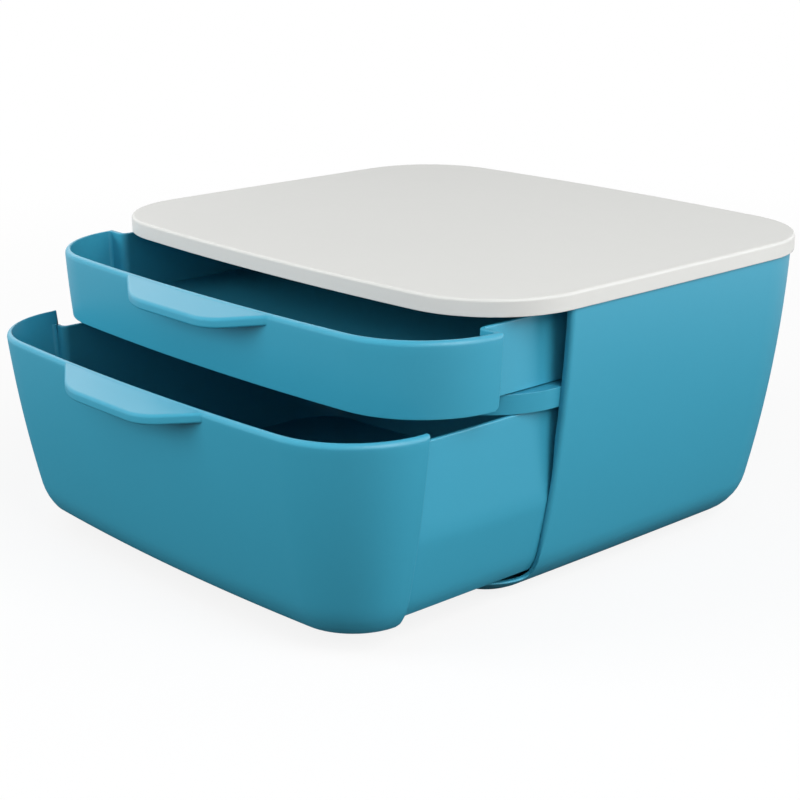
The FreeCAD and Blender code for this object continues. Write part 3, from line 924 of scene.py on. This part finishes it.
class Tree:
    """Geometry node tree whose sizes are named inputs, beside the material it ends in."""

    def __init__(self, name, sizes):
        self.tree = bpy.data.node_groups.new(name, "GeometryNodeTree")
        new_socket(self.tree, "Geometry", "NodeSocketGeometry")
        sockets = [new_socket(self.tree, "Material", "NodeSocketMaterial")]
        sockets += [new_socket(self.tree, label, "NodeSocketFloat", default)
                    for label, default in sizes.items()]
        self.names = {socket.name: socket.identifier for socket in sockets}
        new_socket(self.tree, "Geometry", "NodeSocketGeometry", way="OUTPUT")
        self.size = self.tree.nodes.new("NodeGroupInput").outputs
        self.leave = self.tree.nodes.new("NodeGroupOutput")

    def made(self, kind, inputs, **settings):
        """First output of a new geometry node."""
        return add(self.tree, "GeometryNode" + kind, inputs, **settings).outputs[0]

    def times(self, first, second):
        return maths(self.tree, "MULTIPLY", first, second)

    def vector(self, x, y, z):
        return add(self.tree, "ShaderNodeCombineXYZ", {0: x, 1: y, 2: z}).outputs[0]

    def moved(self, geometry, place, turn=(0.0, 0.0, 0.0)):
        return self.made("Transform", {"Geometry": geometry, "Translation": place,
                                       "Rotation": turn})

    def linked(self, kind, socket, shapes, **settings):
        """New node that takes several shapes in one socket."""
        node = add(self.tree, "GeometryNode" + kind, **settings)
        for shape in shapes:
            self.tree.links.new(shape, node.inputs[socket])
        return node

    def together(self, *shapes):
        return self.linked("JoinGeometry", 0, reversed(shapes)).outputs[0]

    def copies(self, points, shape, turn=(0.0, 0.0, 0.0)):
        return self.made("InstanceOnPoints", {"Points": points, "Instance": shape,
                                              "Rotation": turn})

    def row(self, x, z):
        """Three points along Y, one of them level with the origin."""
        spacing = self.size["Spacing"]
        start = self.vector(x, self.times(spacing, -1.0), z)
        return self.made("MeshLine", {"Count": 3, "Start Location": start,
                                      "Offset": self.vector(0.0, spacing, 0.0)})

    def finish(self, geometry):
        """Ends in real faces with the named material."""
        real = self.made("RealizeInstances", {"Geometry": geometry})
        dressed = self.made("SetMaterial", {"Geometry": real, "Material": self.size["Material"]})
        self.tree.links.new(dressed, self.leave.inputs[0])


def grown(name, tree, values):
    """Runs a geometry node tree with its inputs set and keeps the result as a plain mesh."""
    holder = bpy.data.objects.new(name + "_start", bpy.data.meshes.new(name + "_start"))
    bpy.context.scene.collection.objects.link(holder)
    modifier = holder.modifiers.new("nodes", "NODES")
    modifier.node_group = tree.tree
    for label, value in values.items():
        modifier[tree.names[label]] = value
    seen = holder.evaluated_get(bpy.context.evaluated_depsgraph_get())
    mesh = bpy.data.meshes.new_from_object(seen)
    mesh.name = name
    holder.modifiers.remove(modifier)
    bpy.data.objects.remove(holder)
    if not mesh.polygons:
        raise RuntimeError(name + " came out empty")
    piece = bpy.data.objects.new(name, mesh)
    bpy.context.scene.collection.objects.link(piece)
    return piece


SCREW_HEAD_HEIGHT, SCREW_HEAD_RADIUS = 0.0018, 0.0025
THREADED, THREAD_LOW = 0.86, 0.97   # shares of the shank: its thread, and how far down that ends
CORE, RIDGE = 0.80, 0.19            # shares of its radius: the core, and the thread's own radius
ARM_LENGTH, ARM_WIDTH, ARM_HEIGHT = 0.003, 0.0008, 0.0026   # one arm of the cross recess
ARM_RAISED = 0.0003                 # how far the arm's middle lies above the head


def screw_shank(tree):
    """Core and raised thread, hanging down from the origin."""
    size, made, times, vector = tree.size, tree.made, tree.times, tree.vector
    length, core = size["Shank length"], times(size["Shank radius"], CORE)
    shank = tree.moved(made("MeshCylinder", {"Vertices": 20, "Radius": core, "Depth": length}),
                       vector(0.0, 0.0, times(length, -0.5)))
    threaded = times(length, THREADED)
    line = made("CurveSpiral", {
        "Resolution": 14, "Rotations": maths(tree.tree, "DIVIDE", threaded, size["Thread pitch"]),
        "Start Radius": core, "End Radius": core, "Height": threaded})
    ridge = made("CurvePrimitiveCircle", {
        "Resolution": 4, "Radius": times(size["Shank radius"], RIDGE)}, mode="RADIUS")
    thread = made("CurveToMesh", {"Curve": line, "Profile Curve": ridge, "Fill Caps": True})
    return shank, tree.moved(thread, vector(0.0, 0.0, times(length, -THREAD_LOW)))


def screw_head(tree):
    """Pan head that stands on the origin, with a cross recess."""
    size, vector = tree.size, tree.vector
    ball = tree.made("MeshUVSphere", {"Segments": 28, "Rings": 16,
                                      "Radius": size["Head radius"]})
    flat = maths(tree.tree, "DIVIDE", size["Head height"], size["Head radius"])
    dome = tree.made("Transform", {"Geometry": ball, "Scale": vector(1.0, 1.0, flat)})
    under = 0.02                    # width of the block that takes away the ball's lower half
    block = tree.made("MeshCube", {"Size": (under, under, under)})
    cutters = [tree.moved(block, (0.0, 0.0, -under / 2))]
    for across in ((ARM_LENGTH, ARM_WIDTH, ARM_HEIGHT), (ARM_WIDTH, ARM_LENGTH, ARM_HEIGHT)):
        up = maths(tree.tree, "ADD", size["Head height"], ARM_RAISED)
        cutters.append(tree.moved(tree.made("MeshCube", {"Size": across}), vector(0.0, 0.0, up)))
    head = tree.linked("MeshBoolean", "Mesh 2", cutters, operation="DIFFERENCE")
    tree.tree.links.new(dome, head.inputs["Mesh 1"])
    return head.outputs["Mesh"]


def screw_tree():
    """Two rows of three pan head screws."""
    tree = Tree("Screw rows", {
        "Side distance": 0.1, "Spacing": 0.072, "Seat height": 0.1, "Shank length": 0.019,
        "Shank radius": 0.0013, "Head radius": SCREW_HEAD_RADIUS,
        "Head height": SCREW_HEAD_HEIGHT, "Heads up": 1.0, "Thread pitch": 0.001})
    size, times = tree.size, tree.times
    screw = tree.together(*screw_shank(tree), screw_head(tree))
    turn = times(maths(tree.tree, "SUBTRACT", 1.0, size["Heads up"]), math.pi)
    screw = tree.moved(screw, (0.0, 0.0, 0.0), tree.vector(turn, 0.0, 0.0))
    rows = [tree.row(times(size["Side distance"], side), size["Seat height"])
            for side in (-1.0, 1.0)]
    tree.finish(tree.copies(tree.together(*rows), screw))
    return tree


def post_tree():
    """Three upright posts on each side wall. Their backs follow the leaning wall."""
    tree = Tree("Wall posts", {"Inner distance": 0.167, "Depth": 0.01, "Width": 0.012,
                               "Low": 0.096, "High": 0.122, "Lean": 0.12, "Spacing": 0.072})
    size, times = tree.size, tree.times
    tall = maths(tree.tree, "SUBTRACT", size["High"], size["Low"])
    post = tree.made("MeshCube", {"Size": tree.vector(size["Depth"], size["Width"], tall)})
    place = add(tree.tree, "ShaderNodeSeparateXYZ", {0: tree.made("InputPosition", {})}).outputs
    at_back = add(tree.tree, "FunctionNodeCompare", {0: place["X"], 1: 0.0},
                  operation="GREATER_THAN", data_type="FLOAT").outputs[0]
    shift = tree.vector(times(place["Z"], size["Lean"]), 0.0, 0.0)
    post = tree.made("SetPosition", {"Geometry": post, "Selection": at_back, "Offset": shift})
    middle = times(maths(tree.tree, "ADD", size["High"], size["Low"]), 0.5)
    out = maths(tree.tree, "ADD", size["Inner distance"], times(size["Depth"], 0.5))
    rows = [tree.copies(tree.row(times(out, side), middle), post, (0.0, 0.0, turn))
            for side, turn in ((-1.0, math.pi), (1.0, 0.0))]
    tree.finish(tree.together(*rows))
    return tree


def foot_tree():
    """Four round rubber feet with raised rings underneath."""
    tree = Tree("Rubber feet", {"Radius": 0.007, "Height": 0.003, "Ring height": 0.0003,
                                "Edge round": 0.0007, "Half spread X": 0.106,
                                "Half spread Y": 0.078})
    size, made, times = tree.size, tree.made, tree.times
    radius, ring_height, edge = size["Radius"], size["Ring height"], size["Edge round"]
    low = maths(tree.tree, "ADD", ring_height, edge)
    tall = maths(tree.tree, "SUBTRACT", size["Height"], low)
    body = tree.moved(
        made("MeshCylinder", {"Vertices": 48, "Radius": radius, "Depth": tall}),
        tree.vector(0.0, 0.0, maths(tree.tree, "ADD", low, times(tall, 0.5))))
    sole = tree.moved(
        made("MeshCone", {"Vertices": 48, "Radius Top": radius, "Depth": edge,
                          "Radius Bottom": maths(tree.tree, "SUBTRACT", radius, edge)}),
        tree.vector(0.0, 0.0, ring_height))
    rings = []
    for share in (0.28, 0.52, 0.76):
        path = made("CurvePrimitiveCircle", {"Resolution": 40, "Radius": times(radius, share)},
                    mode="RADIUS")
        bead = made("CurvePrimitiveCircle", {"Resolution": 8, "Radius": ring_height},
                    mode="RADIUS")
        ring = made("CurveToMesh", {"Curve": path, "Profile Curve": bead})
        rings.append(tree.moved(ring, tree.vector(0.0, 0.0, ring_height)))
    corners = made("MeshGrid", {"Size X": times(size["Half spread X"], 2.0),
                                "Size Y": times(size["Half spread Y"], 2.0),
                                "Vertices X": 2, "Vertices Y": 2})
    tree.finish(tree.copies(corners, tree.together(body, sole, *rings)))
    return tree


# ---------------------------------------------------------------- shared effects

PATCHES, FLOW, SPECKS = 9.0, 5.0, 160.0     # scales of the noise: about how many lie in a metre
COARSE_SCALE, COARSE_HEIGHT = 0.22, 0.5     # the coarse grain against the fine one
FLOW_SHARE, SPECK_SHARE = 0.75, 0.25        # of the change in tone


def new_group(name, inputs, outputs):
    """Empty shader node group with its sockets."""
    group = bpy.data.node_groups.new(name, "ShaderNodeTree")
    for label, kind, default in inputs:
        new_socket(group, label, kind, default)
    for label, kind in outputs:
        new_socket(group, label, kind, way="OUTPUT")
    entry = group.nodes.new("NodeGroupInput")
    leave = group.nodes.new("NodeGroupOutput")
    return group, entry.outputs, leave.inputs


def object_coordinates(tree):
    return add(tree, "ShaderNodeTexCoord").outputs["Object"]


def noise(tree, where, scale, detail=2.0, roughness=0.5):
    return add(tree, "ShaderNodeTexNoise", {
        "Vector": where, "Scale": scale, "Detail": detail, "Roughness": roughness}).outputs["Fac"]


def spread(tree, value, middle, half):
    """Maps 0 to 1 onto middle less half to middle plus half."""
    return add(tree, "ShaderNodeMapRange", {
        "Value": value, "To Min": maths(tree, "SUBTRACT", middle, half),
        "To Max": maths(tree, "ADD", middle, half)}).outputs["Result"]


def moulded_grain():
    """Fine spark-eroded grain of a moulded surface: a height, and a spread of roughness."""
    group, given, result = new_group(
        "Moulded grain",
        [("Grain size", "NodeSocketFloat", 0.0011), ("Roughness", "NodeSocketFloat", 0.4),
         ("Roughness spread", "NodeSocketFloat", 0.06)],
        [("Height", "NodeSocketFloat"), ("Roughness", "NodeSocketFloat")])
    where = object_coordinates(group)
    scale = maths(group, "DIVIDE", 1.0, given["Grain size"])
    fine = noise(group, where, scale, detail=3.0, roughness=0.6)
    coarse = noise(group, where, maths(group, "MULTIPLY", scale, COARSE_SCALE), detail=1.0)
    height = maths(group, "ADD", fine, maths(group, "MULTIPLY", coarse, COARSE_HEIGHT))
    group.links.new(height, result["Height"])
    patches = noise(group, where, PATCHES, detail=4.0, roughness=0.55)
    half = maths(group, "MULTIPLY", given["Roughness spread"], 0.5)
    group.links.new(spread(group, patches, given["Roughness"], half), result["Roughness"])
    return group


def handled_colour():
    """Slight change of a moulded colour over the surface: flow of the melt and handling."""
    group, given, result = new_group(
        "Handled colour",
        [("Colour", "NodeSocketColor", (0.5, 0.5, 0.5, 1.0)), ("Strength", "NodeSocketFloat", 0.05)],
        [("Colour", "NodeSocketColor")])
    where = object_coordinates(group)
    flow = noise(group, where, FLOW, detail=3.0, roughness=0.6)
    specks = noise(group, where, SPECKS, detail=2.0)
    mixed = maths(group, "ADD", maths(group, "MULTIPLY", flow, FLOW_SHARE),
                  maths(group, "MULTIPLY", specks, SPECK_SHARE))
    tone = add(group, "ShaderNodeHueSaturation", {
        "Color": given["Colour"], "Value": spread(group, mixed, 1.0, given["Strength"])})
    group.links.new(tone.outputs["Color"], result["Colour"])
    return group


def shared(tree, name, builder, inputs):
    """Places the named node group, which is built the first time, with its own values."""
    group = bpy.data.node_groups.get(name) or builder()
    return add(tree, "ShaderNodeGroup", inputs, node_tree=group).outputs


# ---------------------------------------------------------------- materials

def start_material(name):
    material = bpy.data.materials.new(name)
    material.use_nodes = True
    tree = material.node_tree
    return material, tree, tree.nodes["Principled BSDF"].inputs


def handled_surface(name, colour, tone_change, grain_size, roughness, roughness_spread):
    """Material with a slightly uneven tone and roughness, and the height of its grain."""
    material, tree, shader = start_material(name)
    tone = shared(tree, "Handled colour", handled_colour,
                  {"Colour": (*colour, 1.0), "Strength": tone_change})
    grain = shared(tree, "Moulded grain", moulded_grain,
                   {"Grain size": grain_size, "Roughness": roughness,
                    "Roughness spread": roughness_spread})
    tree.links.new(tone["Colour"], shader["Base Color"])
    tree.links.new(grain["Roughness"], shader["Roughness"])
    return material, tree, shader, grain["Height"]


def moulded_plastic(name, colour, roughness, finish, grain_height):
    """Satin moulded plastic with a fine grain and softly rounded edges."""
    material, tree, shader, height = handled_surface(
        name, colour, tone_change=0.035, grain_size=finish.grain_size, roughness=roughness,
        roughness_spread=0.07)
    edge = add(tree, "ShaderNodeBevel", {"Radius": finish.edge_radius}, samples=8)
    bump = add(tree, "ShaderNodeBump", {
        "Distance": grain_height, "Height": height, "Normal": edge.outputs["Normal"]})
    tree.links.new(bump.outputs["Normal"], shader["Normal"])
    return material


def blue_plastic(finish):
    return bpy.data.materials.get("Blue plastic") or moulded_plastic(
        "Blue plastic", finish.body_colour, finish.body_roughness, finish, grain_height=0.000012)


def lid_plastic(finish):
    return moulded_plastic(
        "Lid plastic", finish.lid_colour, finish.lid_roughness, finish, grain_height=0.000018)


def foot_rubber(finish):
    """Dull rubber with a fine, deep grain."""
    material, tree, shader, height = handled_surface(
        "Foot rubber", finish.foot_colour, tone_change=0.15, grain_size=0.0006, roughness=0.8,
        roughness_spread=0.06)
    bump = add(tree, "ShaderNodeBump", {"Distance": 0.00008, "Height": height})
    tree.links.new(bump.outputs["Normal"], shader["Normal"])
    return material


def zinc_plate(finish):
    """Zinc-plated steel, patchy in its gloss."""
    material, _, shader, _ = handled_surface(
        "Zinc plate", finish.screw_colour, tone_change=0.10, grain_size=0.0004, roughness=0.33,
        roughness_spread=0.16)
    shader["Metallic"].default_value = 1.0
    return material


# ---------------------------------------------------------------- operators for the pieces

def dress(node, material):
    """Gives a carried-over solid one material in all its slots."""
    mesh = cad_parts[node].data
    if not mesh.materials:
        mesh.materials.append(material)
    for index in range(len(mesh.materials)):
        mesh.materials[index] = material


def fit(piece, body, slot, material, *nodes):
    """Gives a modelled piece its material, its body and the solids that it stands for."""
    piece.data.materials.clear()
    piece.data.materials.append(material)
    for face in piece.data.polygons:
        face.material_index = 0
    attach(piece, body)
    if nodes:
        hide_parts(*nodes)


class FILEBOX_OT_shell(bpy.types.Operator):
    """Makes the shell with its rounded seam, and the posts and runners inside it"""
    bl_idname = "filebox.shell"
    bl_label = "Make Shell"

    def execute(self, context):
        blue = blue_plastic(context.scene.file_box_finish)
        fit(shell_mesh("shell"), "cabinet", "shell_plastic", blue, "outer_shell")
        fit(runner_mesh("runners"), "cabinet", "shell_plastic", blue)
        tree = post_tree()
        for name, sizes in (
                ("shelf_posts", {"Inner distance": 0.1675, "Depth": 0.0082, "Width": 0.012,
                                 "Low": 0.096, "High": 0.122, "Lean": 0.13}),
                ("lid_posts", {"Inner distance": 0.1697, "Depth": 0.0115, "Width": 0.008,
                               "Low": 0.165, "High": 0.177, "Lean": 0.05})):
            posts = grown(name, tree, {"Material": blue, **sizes})
            fit(posts, "cabinet", "shell_plastic", blue)
        return {"FINISHED"}


class FILEBOX_OT_drawers(bpy.types.Operator):
    """Makes the two drawers with their pull tabs"""
    bl_idname = "filebox.drawers"
    bl_label = "Make Drawers"

    def execute(self, context):
        blue = blue_plastic(context.scene.file_box_finish)
        upper = tray_mesh("upper_drawer_shape", TrayShape(
            front_low=132.6, box_low=134.9, wall_top=176.0, rim=176.0, forward=53.0))
        fit(upper, "upper_drawer", "drawer_plastic", blue, "upper_drawer_tray")
        lower = tray_mesh("lower_drawer_shape", TrayShape(
            front_low=14.5, box_low=18.3, wall_top=121.5, rim=130.0, forward=103.0))
        fit(lower, "lower_drawer", "drawer_plastic", blue, "lower_drawer_tray")
        return {"FINISHED"}


class FILEBOX_OT_lid_and_shelf(bpy.types.Operator):
    """Finishes the lid and the shelf between the drawers"""
    bl_idname = "filebox.lid_and_shelf"
    bl_label = "Finish Lid And Shelf"

    def execute(self, context):
        finish = context.scene.file_box_finish
        dress("divider_shelf", blue_plastic(finish))
        dress("top_lid", lid_plastic(finish))
        return {"FINISHED"}


class FILEBOX_OT_small_parts(bpy.types.Operator):
    """Makes the feet and the screws"""
    bl_idname = "filebox.small_parts"
    bl_label = "Make Feet And Screws"

    def execute(self, context):
        finish = context.scene.file_box_finish
        rubber = foot_rubber(finish)
        fit(grown("rubber_feet", foot_tree(), {"Material": rubber}), "cabinet", "foot_rubber",
            rubber, "front_left_foot", "front_right_foot", "rear_left_foot", "rear_right_foot")
        metal = zinc_plate(finish)
        tree = screw_tree()
        for node, heads_up in (("shelf_screws", True), ("lid_screws", False)):
            low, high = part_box(node)
            seat = high[2] - SCREW_HEAD_HEIGHT if heads_up else low[2] + SCREW_HEAD_HEIGHT
            screws = grown(node + "_shape", tree, {
                "Material": metal, "Side distance": high[0] - SCREW_HEAD_RADIUS,
                "Seat height": seat, "Shank length": high[2] - low[2] - SCREW_HEAD_HEIGHT,
                "Heads up": float(heads_up)})
            fit(screws, "cabinet", "screw_steel", metal, node)
        return {"FINISHED"}


# ---------------------------------------------------------------- stage

AIM = (0.0, -0.05, 0.1)             # where all lights point
# Name, place, width, and share of the power. Glossy surfaces mirror only the first group.
SIDE_LIGHTS = (("right", (1.7, -0.2, 1.6), 1.4, 1.15),
               ("right low", (2.3, 0.1, 0.7), 1.4, 0.42),
               ("behind right", (1.7, 1.65, 0.5), 1.0, 0.65),
               ("left", (-2.1, 0.3, 1.3), 1.4, 0.3),
               ("behind", (0.2, 2.3, 1.0), 1.4, 0.25))
FRONT_LIGHTS = (("front high", (-0.5, -1.3, 1.9), 1.4, 0.3),
                ("front left", (-1.2, -2.0, 0.8), 1.4, 1.42),
                ("front right", (1.5, -1.6, 1.0), 1.0, 0.25))
FLOOR_SEEN, FLOOR_BOUNCE = 0.80, 0.05       # how pale the floor looks, and how little it lights
SHADOW_NEAR, SHADOW_FAR = 0.35, 1.30        # distances over which the floor turns plain white
SHADOW_FADE = 0.85                          # share of plain white in the floor nearest the box


def area_light(name, place, width, power, mirrored):
    data = bpy.data.lights.new(name, "AREA")
    data.shape = "RECTANGLE"
    data.size = width
    data.size_y = width
    data.energy = power
    light = bpy.data.objects.new(name, data)
    light.visible_glossy = mirrored
    bpy.context.scene.collection.objects.link(light)
    light.location = place
    light.rotation_euler = (Vector(AIM) - Vector(place)).to_track_quat("-Z", "Y").to_euler()


def ray_kinds(tree):
    """1 for a ray from the camera, and 1 for a ray that a glossy or clear surface sends on."""
    path = add(tree, "ShaderNodeLightPath").outputs
    return path["Is Camera Ray"], maths(tree, "MAXIMUM", path["Is Glossy Ray"],
                                        path["Is Transmission Ray"])


def mix_out(tree, part, first, second, output):
    """Ends a tree in a mix of two shaders."""
    mix = add(tree, "ShaderNodeMixShader", {"Fac": part, 1: first, 2: second})
    tree.links.new(mix.outputs[0], tree.nodes[output].inputs["Surface"])


def studio_world(sky_strength):
    """White background to the eye and in reflections, and a weaker even light."""
    world = bpy.data.worlds.new("Studio")
    world.use_nodes = True
    tree = world.node_tree
    white = (1.0, 1.0, 1.0, 1.0)
    light = tree.nodes["Background"]
    light.inputs["Color"].default_value = white
    light.inputs["Strength"].default_value = sky_strength
    seen = add(tree, "ShaderNodeBackground", {"Color": white})
    mix_out(tree, maths(tree, "MAXIMUM", *ray_kinds(tree)), light.outputs[0], seen.outputs[0],
            "World Output")
    return world


def floor_material():
    """Pale floor with a soft shadow near the box, white to the eye farther out."""
    material, tree, shader = start_material("Pale floor")
    shader["Roughness"].default_value = 0.9
    to_eye, mirrored = ray_kinds(tree)
    pale = add(tree, "ShaderNodeMapRange", {"Value": to_eye, "To Min": FLOOR_BOUNCE,
                                            "To Max": FLOOR_SEEN})
    tree.links.new(pale.outputs["Result"], shader["Base Color"])
    away = add(tree, "ShaderNodeVectorMath", {0: object_coordinates(tree)}, operation="LENGTH")
    far = add(tree, "ShaderNodeMapRange", {
        "Value": away.outputs["Value"], "From Min": SHADOW_NEAR, "From Max": SHADOW_FAR},
        interpolation_type="SMOOTHSTEP").outputs["Result"]
    near = add(tree, "ShaderNodeMapRange", {"Value": far, "To Min": SHADOW_FADE})
    white = maths(tree, "MAXIMUM", maths(tree, "MULTIPLY", to_eye, near.outputs["Result"]),
                  maths(tree, "MULTIPLY", mirrored, far))
    glow = add(tree, "ShaderNodeEmission", {"Color": (1.0, 1.0, 1.0, 1.0)})
    mix_out(tree, white, tree.nodes["Principled BSDF"].outputs[0], glow.outputs[0],
            "Material Output")
    return material


def make_floor(size):
    half = size / 2
    mesh = bpy.data.meshes.new("floor")
    mesh.from_pydata([(-half, -half, 0), (half, -half, 0), (half, half, 0), (-half, half, 0)],
                     [], [(0, 1, 2, 3)])
    mesh.materials.append(floor_material())
    floor = bpy.data.objects.new("floor", mesh)
    bpy.context.scene.collection.objects.link(floor)


def make_camera(stage):
    data = bpy.data.cameras.new("camera")
    data.lens = stage.lens
    data.clip_start = 0.05
    data.clip_end = 100.0
    camera = bpy.data.objects.new("camera", data)
    bpy.context.scene.collection.objects.link(camera)
    back = Vector((math.sin(stage.heading) * math.cos(stage.tilt),
                   -math.cos(stage.heading) * math.cos(stage.tilt), math.sin(stage.tilt)))
    camera.location = stage.camera_place
    camera.rotation_euler = (-back).to_track_quat("-Z", "Y").to_euler()
    return camera


class FILEBOX_OT_stage(bpy.types.Operator):
    """Makes the floor, the lights and the camera"""
    bl_idname = "filebox.stage"
    bl_label = "Make Stage"

    def execute(self, context):
        stage, scene = context.scene.file_box_stage, context.scene
        scene.view_settings.view_transform = "Standard"
        make_floor(stage.floor_size)
        scene.world = studio_world(stage.sky_strength)
        for lights, power, mirrored in ((SIDE_LIGHTS, stage.side_power, True),
                                        (FRONT_LIGHTS, stage.front_power, False)):
            for name, place, width, share in lights:
                area_light(name, place, width, power * share, mirrored)
        scene.camera = make_camera(stage)
        return {"FINISHED"}


# ---------------------------------------------------------------- add-on

class FILEBOX_PT_panel(bpy.types.Panel):
    bl_label = "File Box"
    bl_idname = "FILEBOX_PT_panel"
    bl_space_type = "VIEW_3D"
    bl_region_type = "UI"
    bl_category = "File Box"

    def draw(self, context):
        layout = self.layout
        for group in (context.scene.file_box_finish, context.scene.file_box_stage):
            for name in group.bl_rna.properties.keys():
                if name not in ("rna_type", "name"):
                    layout.prop(group, name)
        for operator in OPERATORS:
            layout.operator(operator.bl_idname)


OPERATORS = (FILEBOX_OT_shell, FILEBOX_OT_drawers, FILEBOX_OT_lid_and_shelf,
             FILEBOX_OT_small_parts, FILEBOX_OT_stage)
CLASSES = (FileBoxFinish, FileBoxStage, *OPERATORS, FILEBOX_PT_panel)


def register():
    for cls in CLASSES:
        bpy.utils.register_class(cls)
    bpy.types.Scene.file_box_finish = bpy.props.PointerProperty(type=FileBoxFinish)
    bpy.types.Scene.file_box_stage = bpy.props.PointerProperty(type=FileBoxStage)


def unregister():
    del bpy.types.Scene.file_box_stage
    del bpy.types.Scene.file_box_finish
    for cls in reversed(CLASSES):
        bpy.utils.unregister_class(cls)


def main():
    register()
    bpy.ops.filebox.shell()
    bpy.ops.filebox.drawers()
    bpy.ops.filebox.lid_and_shelf()
    bpy.ops.filebox.small_parts()
    bpy.ops.filebox.stage()


if __name__ == "__main__":
    main()
